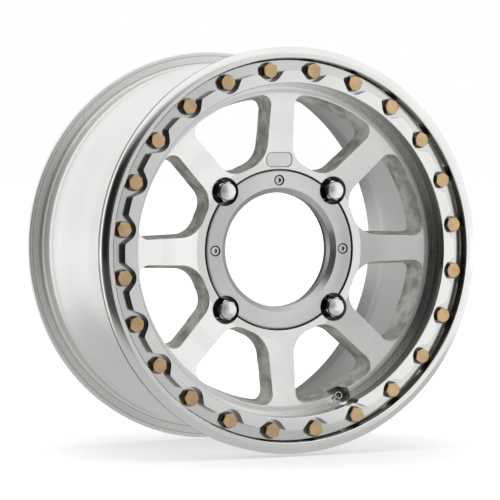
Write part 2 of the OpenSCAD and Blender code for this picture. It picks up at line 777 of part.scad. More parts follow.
module valve_seal() {
    color([0.08, 0.08, 0.08]) about_axis() valve_frame() difference() {
        rod(stem_head_d/2, valve_seat, head_z);
        rod(stem_r + thread_gap, valve_seat - past, head_z + past);
    }
}

valve_washer_z = valve_floor - valve_washer_t;
module valve_washer() {
    color([0.8, 0.8, 0.8]) about_axis() valve_frame() difference() {
        rod(valve_washer_d/2, valve_washer_z, valve_floor);
        rod(stem_r + thread_gap, valve_washer_z - past, valve_floor + past);
    }
}

module valve_nut() {
    color([0.85, 0.85, 0.84]) about_axis() valve_frame() difference() {
        hex_head(valve_nut_flats, valve_washer_z - valve_nut_h, valve_washer_z);
        rod(stem_r + thread_gap, valve_washer_z - valve_nut_h - past, valve_washer_z + past);
    }
}

pin_r = pin_d/2;
seal_fit = 0.02;
core_groove_r = 2;
core_groove_z = 8;
core_groove_w = 1.6;
core_slot_w = 1.4;
core_slot_h = 1.8;
module valve_core() {
    color([0.8, 0.66, 0.36]) about_axis() valve_frame() difference() {
        rotate_extrude() polygon([
            [pin_r + slide_gap, core_top], [stem_bore_r - thread_gap, core_top],
            [stem_bore_r - thread_gap, core_groove_z], [core_groove_r, core_groove_z],
            [core_groove_r, core_groove_z + core_groove_w],
            [stem_bore_r - thread_gap, core_groove_z + core_groove_w],
            [stem_bore_r - thread_gap, core_seat], [pin_r + slide_gap, core_seat]]);
        translate([-stem_bore_r, -core_slot_w/2, core_top - past])
            cube([2*stem_bore_r, core_slot_w, core_slot_h + past]);
    }
}

module valve_core_seal() {
    color([0.85, 0.1, 0.1]) about_axis() valve_frame() difference() {
        rod(stem_bore_r - seal_fit, core_groove_z + seal_fit, core_groove_z + core_groove_w - seal_fit);
        rod(core_groove_r + seal_fit, core_groove_z - past, core_groove_z + core_groove_w + past);
    }
}

pin_top = 1.2;
pin_seal_t = 1.5;
pin_seal_r = 1.5;
pin_collar_t = 0.6;
pin_edge = 0.2;
pin_collar_z = core_seat + pin_seal_t;
spring_z = pin_collar_z + pin_collar_t;
module valve_pin() {
    color([0.7, 0.7, 0.7]) about_axis() valve_frame() rotate_extrude() polygon([
        [0, pin_top], [pin_r - pin_edge, pin_top], [pin_r, pin_top + pin_edge], [pin_r, pin_collar_z],
        [pin_seal_r, pin_collar_z], [pin_seal_r, spring_z], [pin_r, spring_z],
        [pin_r, spring_seat - pin_travel - seal_fit], [0, spring_seat - pin_travel - seal_fit]]);
}

module valve_pin_seal() {
    color([0.06, 0.06, 0.06]) about_axis() valve_frame() difference() {
        rod(pin_seal_r, core_seat, pin_collar_z);
        rod(pin_r + seal_fit, core_seat - past, pin_collar_z + past);
    }
}

// The spring is a round wire swept along a helix
wire_r = spring_wire_d/2;
coil_r = pin_seal_r - wire_r;
coil_steps = 14;
wire_sides = 6;
module valve_spring() {
    first = spring_z + wire_r + seal_fit;
    last = spring_seat - wire_r - seal_fit;
    rings = ceil(spring_turns*coil_steps);
    lean = atan((last - first)/(spring_turns*360)*180/PI/coil_r);
    points = [for (i = [0:rings], j = [0:wire_sides - 1]) let (
        a = 360*spring_turns*i/rings, b = 360*j/wire_sides,
        out = coil_r + wire_r*cos(b), up = wire_r*sin(b))
        [out*cos(a) + up*sin(lean)*sin(a), out*sin(a) - up*sin(lean)*cos(a),
         first + (last - first)*i/rings + up*cos(lean)]];
    sides = [for (i = [0:rings - 1], j = [0:wire_sides - 1]) let (k = (j + 1)%wire_sides)
        [i*wire_sides + j, (i + 1)*wire_sides + j, (i + 1)*wire_sides + k, i*wire_sides + k]];
    ends = [[for (j = [0:wire_sides - 1]) j],
        [for (j = [wire_sides - 1:-1:0]) rings*wire_sides + j]];
    color([0.75, 0.75, 0.75]) about_axis() valve_frame() polyhedron(points, concat(sides, ends));
}

wheel();
beadlock_ring();
beadlock_bolts();
beadlock_washers();
lug_nuts();
centre_ring();
centre_ring_screws();
badge();
valve_stem();
valve_seal();
valve_washer();
valve_nut();
valve_core();
valve_core_seal();
valve_pin();
valve_pin_seal();
valve_spring();
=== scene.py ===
"""A beadlock wheel in bare machined aluminium, dressed for its portrait.

The metal comes from model.glb. This script gives each piece its finish, cuts the thread on
the valve stem, and sets up the floor, the boards that the metal mirrors, the light and the
camera. Lengths are in metres. A mask is 1 where it holds and 0 elsewhere.
"""

import logging
import math
from dataclasses import dataclass
from enum import Enum
from typing import Optional, Union

import bpy
from mathutils import Matrix, Vector


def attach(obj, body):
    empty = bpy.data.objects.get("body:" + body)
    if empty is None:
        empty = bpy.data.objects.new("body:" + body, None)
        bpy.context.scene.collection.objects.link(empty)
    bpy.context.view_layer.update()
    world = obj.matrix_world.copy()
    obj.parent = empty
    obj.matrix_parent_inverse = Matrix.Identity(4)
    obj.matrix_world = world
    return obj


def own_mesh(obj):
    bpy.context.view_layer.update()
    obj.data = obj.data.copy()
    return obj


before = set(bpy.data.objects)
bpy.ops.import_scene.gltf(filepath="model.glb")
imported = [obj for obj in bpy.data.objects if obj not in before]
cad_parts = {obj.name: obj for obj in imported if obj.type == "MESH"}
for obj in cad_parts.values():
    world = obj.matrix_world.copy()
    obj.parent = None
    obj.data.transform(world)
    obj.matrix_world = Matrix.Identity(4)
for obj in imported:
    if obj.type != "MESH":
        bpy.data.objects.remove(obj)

LOG = logging.getLogger("wheel")
Colour = tuple[float, float, float]
Place = tuple[float, float, float]
Pair = tuple[float, float]
Face = tuple[int, ...]
Node = bpy.types.Node
Material = bpy.types.Material
Object = bpy.types.Object
Socket = bpy.types.NodeSocket
Value = Union[float, Socket]
Paint = Union[Colour, Socket]

WHITE: Colour = (1.0, 1.0, 1.0)
BLACK: Colour = (0.0, 0.0, 0.0)
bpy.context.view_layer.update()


class Slot(Enum):
    """The record's material slots."""

    CASTING = "cast_aluminium"
    RING = "ring_aluminium"
    BOLT = "bolt_zinc"
    WASHER = "washer_zinc"
    LUG = "lug_chrome"
    CENTRE = "centre_aluminium"
    SCREW = "screw_steel"
    BADGE = "badge_aluminium"
    VALVE = "valve_chrome"
    RUBBER = "seal_rubber"
    BRASS = "core_brass"
    RED = "core_seal_red"
    PIN = "pin_steel"


class Effect(Enum):
    """The surface effects that several finishes share, each one node group."""

    ROUND_AXIS = "round_axis"
    TURNED = "turned_marks"
    CAST = "cast_skin"
    HANDLED = "handled"
    SOFT_BAND = "soft_band"


class MixInputs(Enum):
    """Which inputs of a Mix node are its mask and its two choices, for each kind of data."""

    FLOAT = (0, 2, 3)
    RGBA = (0, 6, 7)


@dataclass
class Canvas:
    """A node tree with short calls for the nodes that the finishes are built from."""

    tree: bpy.types.NodeTree

    def add(self, kind: str, **settings: object) -> Node:
        """Adds one node.

        Args:
            kind: Blender's name of the node type.
            settings: attributes to set on the node.

        Returns:
            The new node.
        """
        node = self.tree.nodes.new(kind)
        for name, value in settings.items():
            setattr(node, name, value)
        return node

    def plug(self, value: object, socket: Socket) -> None:
        """Links a socket to an input socket, or sets a plain value on it.

        Args:
            value: an output socket or a plain value.
            socket: the input socket.
        """
        if isinstance(value, Socket):
            self.tree.links.new(value, socket)
        else:
            socket.default_value = value

    def finish(self, shader: Node, output: str = "ShaderNodeOutputMaterial") -> None:
        """Links the last shader to the tree's output, an output node of the given type."""
        self.plug(shader.outputs[0], self.add(output).inputs["Surface"])

    def maths(self, operation: str, *values: Value, clamp: bool = False) -> Socket:
        """Adds a Math node.

        Args:
            operation: the node's operation.
            values: its inputs in order.
            clamp: whether the result is kept from 0 to 1.

        Returns:
            The result socket.
        """
        node = self.add("ShaderNodeMath", operation=operation, use_clamp=clamp)
        for value, socket in zip(values, node.inputs):
            self.plug(value, socket)
        return node.outputs[0]

    def times(self, first: Value, *others: Value) -> Socket:
        """Multiplies two or more values.

        Args:
            first: the first value.
            others: the values to multiply it by.

        Returns:
            The result socket.
        """
        for other in others:
            first = self.maths("MULTIPLY", first, other)
        return first

    def remap(self, value: Value, low: float, high: float, to_low: float = 0.0,
              to_high: float = 1.0, smooth: bool = True) -> Socket:
        """Maps a range of values to another, clamped.

        Args:
            value: the input.
            low: where the input range starts.
            high: where the input range ends.
            to_low: the result at low.
            to_high: the result at high.
            smooth: whether the change is eased.

        Returns:
            The result socket.
        """
        node = self.add("ShaderNodeMapRange",
                        interpolation_type="SMOOTHSTEP" if smooth else "LINEAR")
        for item, socket in zip((value, low, high, to_low, to_high), node.inputs):
            self.plug(item, socket)
        return node.outputs[0]

    def above(self, value: Value, edge: float, soft: float) -> Socket:
        """Masks what lies above an edge, rising over a soft stretch from it."""
        return self.remap(value, edge, edge + soft)

    def below(self, value: Value, edge: float, soft: float) -> Socket:
        """Masks what lies below an edge, falling over a soft stretch from it."""
        return self.remap(value, edge, edge + soft, 1.0, 0.0)

    def place(self) -> Socket:
        """The place on the object, in its own frame."""
        return self.add("ShaderNodeTexCoord").outputs["Object"]

    def vector(self, x: Value, y: Value, z: Value) -> Socket:
        """Joins three values into a vector.

        Args:
            x: its x.
            y: its y.
            z: its z.

        Returns:
            The vector socket.
        """
        node = self.add("ShaderNodeCombineXYZ")
        for value, socket in zip((x, y, z), node.inputs):
            self.plug(value, socket)
        return node.outputs[0]

    def parts(self, vector: Socket) -> tuple[Socket, ...]:
        """Takes a vector apart.

        Args:
            vector: the vector.

        Returns:
            The sockets of its x, y and z.
        """
        node = self.add("ShaderNodeSeparateXYZ")
        self.plug(vector, node.inputs[0])
        return tuple(node.outputs)

    def scaled(self, vector: Socket, factor: Value) -> Socket:
        """Scales a vector.

        Args:
            vector: the vector.
            factor: what it is multiplied by.

        Returns:
            The vector socket.
        """
        node = self.add("ShaderNodeVectorMath", operation="SCALE")
        self.plug(vector, node.inputs[0])
        self.plug(factor, node.inputs["Scale"])
        return node.outputs[0]

    def distance(self, place: Socket, origin: Place = (0.0, 0.0, 0.0)) -> Socket:
        """Measures how far a place is from an origin.

        Args:
            place: the place.
            origin: what it is measured from.

        Returns:
            The socket of the distance.
        """
        node = self.add("ShaderNodeVectorMath", operation="DISTANCE")
        self.plug(place, node.inputs[0])
        node.inputs[1].default_value = origin
        return node.outputs["Value"]

    def facing(self) -> Socket:
        """How far the surface faces along the wheel's axis: -1 to the front and 1 to the back."""
        return self.parts(self.add("ShaderNodeNewGeometry").outputs["True Normal"])[1]

    def seen(self) -> Socket:
        """Masks the rays that show the background: from the camera, off gloss and through glass.

        Returns:
            The mask socket.
        """
        path = self.add("ShaderNodeLightPath")
        return self.maths("MAXIMUM", path.outputs["Is Camera Ray"], self.maths(
            "MAXIMUM", path.outputs["Is Glossy Ray"], path.outputs["Is Transmission Ray"]))

    def noise(self, vector: Value, scale: float, detail: float, rough: float = 0.5) -> Socket:
        """Adds a noise texture.

        Args:
            vector: where it is looked up.
            scale: how fine it is.
            detail: how many octaves it has.
            rough: how strong the finer octaves are.

        Returns:
            The value socket.
        """
        node = self.add("ShaderNodeTexNoise")
        self.plug(vector, node.inputs["Vector"])
        node.inputs["Scale"].default_value = scale
        node.inputs["Detail"].default_value = detail
        node.inputs["Roughness"].default_value = rough
        return node.outputs[0]

    def mix(self, kind: MixInputs, *values: object) -> Node:
        """Adds a Mix node.

        Args:
            kind: the kind of data.
            values: the mask and the two choices.

        Returns:
            The node.
        """
        node = self.add("ShaderNodeMix", data_type=kind.name)
        for index, value in zip(kind.value, values):
            self.plug((*value, 1.0) if isinstance(value, tuple) else value, node.inputs[index])
        return node

    def blend(self, mask: Value, first: Paint, second: Paint) -> Socket:
        """Mixes two colours: a mask of 0 gives the first and 1 the second."""
        return self.mix(MixInputs.RGBA, mask, first, second).outputs[2]

    def between(self, mask: Value, first: Value, second: Value) -> Socket:
        """Mixes two values: a mask of 0 gives the first and 1 the second."""
        return self.mix(MixInputs.FLOAT, mask, first, second).outputs[0]

    def effect(self, effect: Effect, **values: Value) -> Node:
        """Places a shared effect.

        Args:
            effect: which effect.
            values: its inputs, with underscores for spaces.

        Returns:
            The group node.
        """
        node = self.add("ShaderNodeGroup", node_tree=bpy.data.node_groups[effect.value])
        for name, value in values.items():
            self.plug(value, node.inputs[name.replace("_", " ").capitalize()])
        return node


def clear_canvas(owner: Union[Material, bpy.types.World]) -> Canvas:
    """Empties the node tree of a material or world.

    Args:
        owner: the material or world.

    Returns:
        The canvas of its tree.
    """
    owner.use_nodes = True
    owner.node_tree.nodes.clear()
    return Canvas(owner.node_tree)


def add_mesh(name: str, points: list[Vector], faces: list[Face],
             material: Material) -> Object:
    """Adds a flat-shaded object to the scene.

    Args:
        name: the name of the object and its mesh.
        points: its corners.
        faces: its faces.
        material: its material.

    Returns:
        The object.
    """
    mesh = bpy.data.meshes.new(name)
    mesh.from_pydata(points, [], faces)
    mesh.materials.append(material)
    made = bpy.data.objects.new(name, mesh)
    bpy.context.scene.collection.objects.link(made)
    return made


def square(half: float) -> list[Vector]:
    """The corners of a level square round its own origin, from half its side."""
    return [Vector((x * half, y * half, 0.0)) for x, y in ((-1, -1), (1, -1), (1, 1), (-1, 1))]


def shifted(value: float, changes: Pair) -> Pair:
    """A value with each of two changes added to it."""
    return value + changes[0], value + changes[1]


def dimmed(colour: Colour, factor: float) -> Colour:
    """A colour with each part multiplied by a factor."""
    return tuple(factor * part for part in colour)


@dataclass
class EffectShop:
    """Builds the node groups that the finishes share."""

    broad_scale: float = 0.09
    broad_share: float = 0.4
    broad_range: Pair = (0.3, 0.7)
    pit_scale: float = 0.8
    pit_share: float = 0.35
    cast_clouds: float = 55.0
    cast_range: Pair = (0.32, 0.68)
    handled_range: Pair = (0.3, 0.7)

    def build(self) -> None:
        """Builds every shared effect once."""
        self.round_axis()
        self.turned_marks()
        self.cast_skin()
        self.handled()
        self.soft_band()

    def group(self, effect: Effect, inputs: dict[str, float],
              outputs: tuple[str, ...]) -> tuple[Canvas, Node, Node]:
        """Starts a node group with named sockets.

        Args:
            effect: which effect it is.
            inputs: input names with their defaults.
            outputs: output names.

        Returns:
            The canvas, the group's input node and its output node.
        """
        tree = bpy.data.node_groups.new(effect.value, "ShaderNodeTree")
        for name, value in inputs.items():
            socket = tree.interface.new_socket(name, in_out="INPUT", socket_type="NodeSocketFloat")
            socket.default_value = value
        for name in outputs:
            tree.interface.new_socket(name, in_out="OUTPUT", socket_type="NodeSocketFloat")
        canvas = Canvas(tree)
        return canvas, canvas.add("NodeGroupInput"), canvas.add("NodeGroupOutput")

    def round_axis(self) -> None:
        """Distance from the wheel's axis, place along it and clock angle in turns."""
        canvas, _, end = self.group(Effect.ROUND_AXIS, {}, ("Radius", "Along", "Clock"))
        x, y, z = canvas.parts(canvas.place())
        squares = canvas.maths("ADD", canvas.times(x, x), canvas.times(z, z))
        canvas.plug(canvas.maths("SQRT", squares), end.inputs["Radius"])
        canvas.plug(y, end.inputs["Along"])
        clock = canvas.maths("DIVIDE", canvas.maths("ARCTAN2", x, z), math.tau)
        canvas.plug(clock, end.inputs["Clock"])

    def turned_marks(self) -> None:
        """The fine rings that a turning tool leaves round the axis."""
        inputs = {"Per metre": 900.0, "Broken": 0.2}
        canvas, start, end = self.group(Effect.TURNED, inputs, ("Height", "Sheen"))
        per_metre, broken = (start.outputs[name] for name in inputs)
        radius, along, clock = canvas.effect(Effect.ROUND_AXIS).outputs
        across, down = canvas.times(radius, per_metre), canvas.times(along, per_metre)
        turn = canvas.times(canvas.maths("ABSOLUTE", clock), broken)
        fine = canvas.noise(canvas.vector(across, down, turn), 1.0, 3.0, 0.6)
        wide = canvas.vector(canvas.times(across, self.broad_scale),
                             canvas.times(down, self.broad_scale), clock)
        broad = canvas.noise(wide, 1.0, 1.0)
        height = canvas.maths("ADD", fine, canvas.times(broad, self.broad_share))
        canvas.plug(height, end.inputs["Height"])
        canvas.plug(canvas.remap(broad, *self.broad_range), end.inputs["Sheen"])

    def cast_skin(self) -> None:
        """The grain and cloudy tone of a blasted casting."""
        canvas, start, end = self.group(Effect.CAST, {"Per metre": 900.0}, ("Height", "Cloud"))
        place = canvas.place()
        scaled = canvas.scaled(place, start.outputs["Per metre"])
        grain = canvas.noise(scaled, 1.0, 4.0, 0.65)
        pits = canvas.add("ShaderNodeTexVoronoi", feature="SMOOTH_F1")
        canvas.plug(scaled, pits.inputs["Vector"])
        pits.inputs["Scale"].default_value = self.pit_scale
        height = canvas.maths("ADD", grain, canvas.times(pits.outputs["Distance"], self.pit_share))
        canvas.plug(height, end.inputs["Height"])
        clouds = canvas.noise(place, self.cast_clouds, 4.0, 0.6)
        canvas.plug(canvas.remap(clouds, *self.cast_range), end.inputs["Cloud"])

    def handled(self) -> None:
        """Faint cloudy traces of wiping and handling."""
        canvas, start, end = self.group(Effect.HANDLED, {"Per metre": 18.0}, ("Cloud",))
        scaled = canvas.scaled(canvas.place(), start.outputs["Per metre"])
        clouds = canvas.noise(scaled, 1.0, 3.0, 0.55)
        canvas.plug(canvas.remap(clouds, *self.handled_range), end.inputs["Cloud"])

    def soft_band(self) -> None:
        """A mask between two limits of a value, with soft edges."""
        inputs = {"Value": 0.0, "Low": 0.0, "High": 1.0, "Edge": 0.0004}
        canvas, start, end = self.group(Effect.SOFT_BAND, inputs, ("Mask",))
        value, low, high, edge = (start.outputs[name] for name in inputs)
        rise = canvas.maths("DIVIDE", canvas.maths("SUBTRACT", value, low), edge, clamp=True)
        fall = canvas.maths("DIVIDE", canvas.maths("SUBTRACT", high, value), edge, clamp=True)
        canvas.plug(canvas.times(rise, fall), end.inputs["Mask"])


@dataclass(frozen=True)
class Finish:
    """What every finish has: a material with one Principled shader and softened edges."""

    slot: Slot
    edge: float = 0.0003

    def start(self, metallic: float, roughness: float) -> tuple[Material, Canvas, Node]:
        """Starts the material.

        Args:
            metallic: the shader's plain metallic value.
            roughness: the shader's plain roughness value.

        Returns:
            The material, its canvas and the Principled shader.
        """
        material = bpy.data.materials.new(self.slot.value + "_finish")
        canvas = clear_canvas(material)
        shader = canvas.add("ShaderNodeBsdfPrincipled")
        shader.inputs["Metallic"].default_value = metallic
        shader.inputs["Roughness"].default_value = roughness
        canvas.finish(shader)
        return material, canvas, shader

    def relief(self, canvas: Canvas, shader: Node, height: Value, depth: float) -> None:
        """Adds the surface's relief over its softened edges.

        Args:
            canvas: the material's canvas.
            shader: the Principled shader.
            height: the relief, about 0 to 1.
            depth: the depth of the relief.
        """
        soft = canvas.add("ShaderNodeBevel", samples=4)
        soft.inputs["Radius"].default_value = self.edge
        bump = canvas.add("ShaderNodeBump")
        canvas.plug(canvas.times(height, depth), bump.inputs["Height"])
        bump.inputs["Distance"].default_value = 1.0
        canvas.plug(soft.outputs[0], bump.inputs["Normal"])
        canvas.plug(bump.outputs[0], shader.inputs["Normal"])

    def wall(self, canvas: Canvas, slopes: Pair) -> Socket:
        """Masks walls along the axis, between two amounts of turn of the normal towards it."""
        return canvas.remap(canvas.maths("ABSOLUTE", canvas.facing()), *slopes, 1.0, 0.0)

    def spin(self, canvas: Canvas, shader: Node, amount: float) -> None:
        """Stretches the gloss outwards, across the tool marks that run round the axis.

        Args:
            canvas: the material's canvas.
            shader: the Principled shader.
            amount: how strong the stretch is.
        """
        shader.inputs["Anisotropic"].default_value = amount
        shader.inputs["Anisotropic Rotation"].default_value = 0.25
        tangent = canvas.add("ShaderNodeTangent", direction_type="RADIAL", axis="Y")
        canvas.plug(tangent.outputs[0], shader.inputs["Tangent"])


@dataclass(frozen=True)
class TurnedFinish(Finish):
    """Bright aluminium turned on a lathe, with painted shade in its hollows and behind its lip."""

    tone: Colour = (0.89, 0.895, 0.875)
    shade: Colour = (0.82, 0.825, 0.805)
    shade_share: float = 0.6
    roughness: float = 0.26
    sheen_range: Pair = (-0.04, 0.05)
    cloud_roughness: float = 0.04
    marks: float = 900.0
    depth: float = 0.000012
    stretch: float = 0.45
    # The next fields paint shade: a dark tone on the walls inside the lip, and a dark band on the
    # ring's side behind the lip.
    wall_shade_tone: Colour = (0.16, 0.155, 0.14)
    wall_from: float = 0.0
    wall_to: float = 0.179
    wall_slopes: Pair = (0.45, 0.65)
    back_shade_edge: float = -0.0672
    back_shade_soft: float = 0.0004
    back_shade_radii: Pair = (0.1825, 0.1835)
    # The floor fields paint shade: the floors of the ring's pockets are darkened.
    floor_from: float = -0.0657
    floor_soft: float = 0.0003
    floor_shade: float = 0.84

    def painted_shade_parts(self, canvas: Canvas, radius: Socket, along: Socket) -> Socket:
        """Masks the painted shade: the walls inside the lip and the ring's side behind the lip.

        Args:
            canvas: the material's canvas.
            radius: the distance from the axis.
            along: the place along the axis.

        Returns:
            The mask socket.
        """
        inside = canvas.effect(Effect.SOFT_BAND, value=radius, low=self.wall_from,
                               high=self.wall_to).outputs[0]
        behind = canvas.above(along, self.back_shade_edge, self.back_shade_soft)
        return canvas.maths("MAXIMUM", canvas.times(self.wall(canvas, self.wall_slopes), inside),
                            canvas.times(behind, canvas.remap(radius, *self.back_shade_radii)))

    def make(self) -> Material:
        """Builds the material.

        Returns:
            The material.
        """
        material, canvas, shader = self.start(1.0, self.roughness)
        turned = canvas.effect(Effect.TURNED, per_metre=self.marks)
        cloud = canvas.effect(Effect.HANDLED).outputs["Cloud"]
        radius, along, _ = canvas.effect(Effect.ROUND_AXIS).outputs
        clean = canvas.blend(canvas.times(cloud, self.shade_share), self.tone, self.shade)
        # Painted shade: the pocket floors inside the lip are darkened a little.
        floor_shade_mask = canvas.times(canvas.above(along, self.floor_from, self.floor_soft),
                            canvas.below(radius, self.wall_to, self.floor_soft))
        floor_shaded = canvas.blend(canvas.times(floor_shade_mask, 1.0 - self.floor_shade), clean, BLACK)
        # Painted shade: the inner walls and the band behind the lip take the dark tone.
        dark = self.painted_shade_parts(canvas, radius, along)
        canvas.plug(canvas.blend(dark, floor_shaded, self.wall_shade_tone), shader.inputs["Base Color"])
        sheen = canvas.between(turned.outputs["Sheen"], *shifted(self.roughness, self.sheen_range))
        canvas.plug(canvas.maths("ADD", sheen, canvas.times(cloud, self.cloud_roughness)),
                    shader.inputs["Roughness"])
        self.relief(canvas, shader, turned.outputs["Height"], self.depth)
        self.spin(canvas, shader, self.stretch)
        return material


@dataclass(frozen=True)
class CastingFinish(Finish):
    """The casting: turned on its face, steps and barrel, blasted in the windows and behind."""

    tone: Colour = (0.89, 0.895, 0.875)
    shade: float = 0.92
    shade_share: float = 0.5
    clouds: float = 14.0
    roughness: float = 0.27
    sheen_range: Pair = (-0.03, 0.04)
    marks: float = 700.0
    marks_height: float = 0.014
    stretch: float = 0.3
    depth: float = 0.00022
    cast: Colour = (0.93, 0.93, 0.86)
    cast_dark: Colour = (0.44, 0.44, 0.4)
    cast_grain: float = 950.0
    cast_roughness: float = 0.58
    cast_metallic: float = 0.6
    cast_slopes: Pair = (-0.6, -0.3)
    cast_hub_radii: Pair = (0.0792, 0.0806)
    window_radius: float = 0.1469
    window_soft: float = 0.0004
    # The next fields paint shade: a dark tone on the walls of the steps, lug pockets, groove and
    # valve's pocket.
    wall_shade_tone: Colour = (0.065, 0.065, 0.06)
    wall_to: float = 0.1562
    wall_slopes: Pair = (0.72, 0.9)
    step_along: float = -0.0497
    step_soft: float = 0.0003
    hub_radius: float = 0.098
    hub_soft: float = 0.001
    valve_place: Place = (0.0574, 0.0, -0.1386)
    valve_radius: float = 0.0094
    valve_back: float = -0.036
    valve_soft: float = 0.002
    valve_slopes: Pair = (0.93, 0.97)
    front_along: Pair = (-0.04, -0.038)
    rim_soft: float = 0.001
    rim_roughness: float = 0.42
    bowl_roughness: float = 0.15
    bowl_radii: Pair = (0.1498, 0.1525)
    barrel_roughness: float = 0.42
    # The flange fields paint two dark lines of shade along the edges of the rear flange's face.
    flange_along: float = 0.1
    flange_soft: float = 0.001
    flange_shade_lines: Pair = (0.1806, 0.1876)
    flange_width: float = 0.0008
    flange_shade_strength: float = 0.8

    def cast_mask(self, canvas: Canvas, radius: Socket) -> Socket:
        """Masks the metal that is left as cast: window walls and the spokes' backs.

        Args:
            canvas: the material's canvas.
            radius: the distance from the axis.

        Returns:
            The mask socket.
        """
        return canvas.times(canvas.remap(canvas.facing(), *self.cast_slopes),
                            canvas.below(radius, self.window_radius, self.window_soft),
                            canvas.remap(radius, *self.cast_hub_radii))

    def valve_pocket_shade(self, canvas: Canvas, along: Socket) -> Socket:
        """Masks the walls of the valve's pocket, where shade is painted.

        Args:
            canvas: the material's canvas.
            along: the place along the axis.

        Returns:
            The mask socket.
        """
        x, _, z = canvas.parts(canvas.place())
        away = canvas.distance(canvas.vector(x, 0.0, z), self.valve_place)
        near = canvas.remap(away, self.valve_radius - self.valve_soft, self.valve_radius, 1.0, 0.0)
        return canvas.times(near, self.wall(canvas, self.valve_slopes),
                            canvas.below(along, self.valve_back, self.valve_soft))

    def painted_shade_walls(self, canvas: Canvas, radius: Socket, along: Socket, cast: Socket) -> Socket:
        """Masks painted shade on walls: front steps, lug pockets, groove and the valve's pocket.

        Args:
            canvas: the material's canvas.
            radius: the distance from the axis.
            along: the place along the axis.
            cast: the mask of the metal as cast.

        Returns:
            The mask socket.
        """
        steps = canvas.times(canvas.below(along, self.step_along, self.step_soft),
                             canvas.below(radius, self.wall_to, self.step_soft))
        hub = canvas.below(radius, self.hub_radius, self.hub_soft)
        walls = canvas.times(canvas.maths("MAXIMUM", steps, hub),
                             canvas.maths("SUBTRACT", 1.0, cast, clamp=True),
                             self.wall(canvas, self.wall_slopes))
        return canvas.maths("MAXIMUM", walls, self.valve_pocket_shade(canvas, along))

    def flange(self, canvas: Canvas, radius: Socket, along: Socket) -> Socket:
        """Masks two dark lines of painted shade that edge the rear flange's face.

        Args:
            canvas: the material's canvas.
            radius: the distance from the axis.
            along: the place along the axis.

        Returns:
            The mask socket.
        """
        bands = (canvas.effect(Effect.SOFT_BAND, value=radius, low=line,
                               high=line + self.flange_width).outputs[0]
                 for line in self.flange_shade_lines)
        behind = canvas.remap(along, self.flange_along, self.flange_along + self.flange_soft,
                              0.0, self.flange_shade_strength)
        return canvas.times(canvas.maths("MAXIMUM", *bands), behind)

    def make(self) -> Material:
        """Builds the material.

        Returns:
            The material.
        """
        material, canvas, shader = self.start(1.0, self.roughness)
        radius, along, _ = canvas.effect(Effect.ROUND_AXIS).outputs
        turned = canvas.effect(Effect.TURNED, per_metre=self.marks)
        skin = canvas.effect(Effect.CAST, per_metre=self.cast_grain)
        cloud = canvas.effect(Effect.HANDLED, per_metre=self.clouds).outputs["Cloud"]
        cast = self.cast_mask(canvas, radius)
        face = canvas.blend(canvas.times(cloud, self.shade_share), self.tone,
                            dimmed(self.tone, self.shade))
        blasted = canvas.blend(skin.outputs["Cloud"], self.cast, self.cast_dark)
        # Painted shade: these walls and the rear flange's two lines take the dark tone.
        dark = canvas.maths("MAXIMUM", self.painted_shade_walls(canvas, radius, along, cast),
                            self.flange(canvas, radius, along))
        canvas.plug(canvas.blend(dark, canvas.blend(cast, face, blasted), self.wall_shade_tone),
                    shader.inputs["Base Color"])
        canvas.plug(canvas.between(cast, 1.0, self.cast_metallic), shader.inputs["Metallic"])
        front = canvas.remap(along, *self.front_along, 1.0, 0.0)
        outer = canvas.above(radius, self.window_radius, self.rim_soft)
        rim = canvas.times(outer, front)
        bowl = canvas.times(canvas.remap(radius, *self.bowl_radii), front)
        barrel = canvas.times(outer, canvas.remap(along, *self.front_along))
        plain = canvas.between(turned.outputs["Sheen"], *shifted(self.roughness, self.sheen_range))
        rim_rough = canvas.between(bowl, self.rim_roughness, self.bowl_roughness)
        turned_rough = canvas.between(barrel, canvas.between(rim, plain, rim_rough),
                                      self.barrel_roughness)
        canvas.plug(canvas.between(cast, turned_rough, self.cast_roughness),
                    shader.inputs["Roughness"])
        smooth = canvas.between(canvas.maths("MAXIMUM", rim, barrel), self.marks_height, 0.0)
        height = canvas.between(cast, canvas.times(turned.outputs["Height"], smooth),
                                skin.outputs["Height"])
        self.relief(canvas, shader, height, self.depth)
        self.spin(canvas, shader, self.stretch)
        return material


@dataclass(frozen=True)
class PlatedFinish(Finish):
    """A plated or plain metal with a fine grain, optionally with painted shade on its walls."""

    tone: Colour = (0.8, 0.8, 0.8)
    shade: Colour = (0.7, 0.7, 0.7)
    roughness: float = 0.3
    roughness_shares: Pair = (0.85, 1.2)
    clouds: float = 90.0
    grain: float = 1500.0
    depth: float = 0.00001
    wall_shade_tone: Optional[Colour] = None
    wall_slopes: Pair = (0.45, 0.65)

    def make(self) -> Material:
        """Builds the material.

        Returns:
            The material.
        """
        material, canvas, shader = self.start(1.0, self.roughness)
        skin = canvas.effect(Effect.CAST, per_metre=self.grain)
        cloud = canvas.effect(Effect.HANDLED, per_metre=self.clouds).outputs["Cloud"]
        clean = canvas.blend(cloud, self.tone, self.shade)
        # Painted shade: the side walls take a dark tone.
        if self.wall_shade_tone is not None:
            clean = canvas.blend(self.wall(canvas, self.wall_slopes), clean, self.wall_shade_tone)
        canvas.plug(clean, shader.inputs["Base Color"])
        low, high = (self.roughness * share for share in self.roughness_shares)
        canvas.plug(canvas.between(cloud, low, high), shader.inputs["Roughness"])
        self.relief(canvas, shader, skin.outputs["Height"], self.depth)
        return material


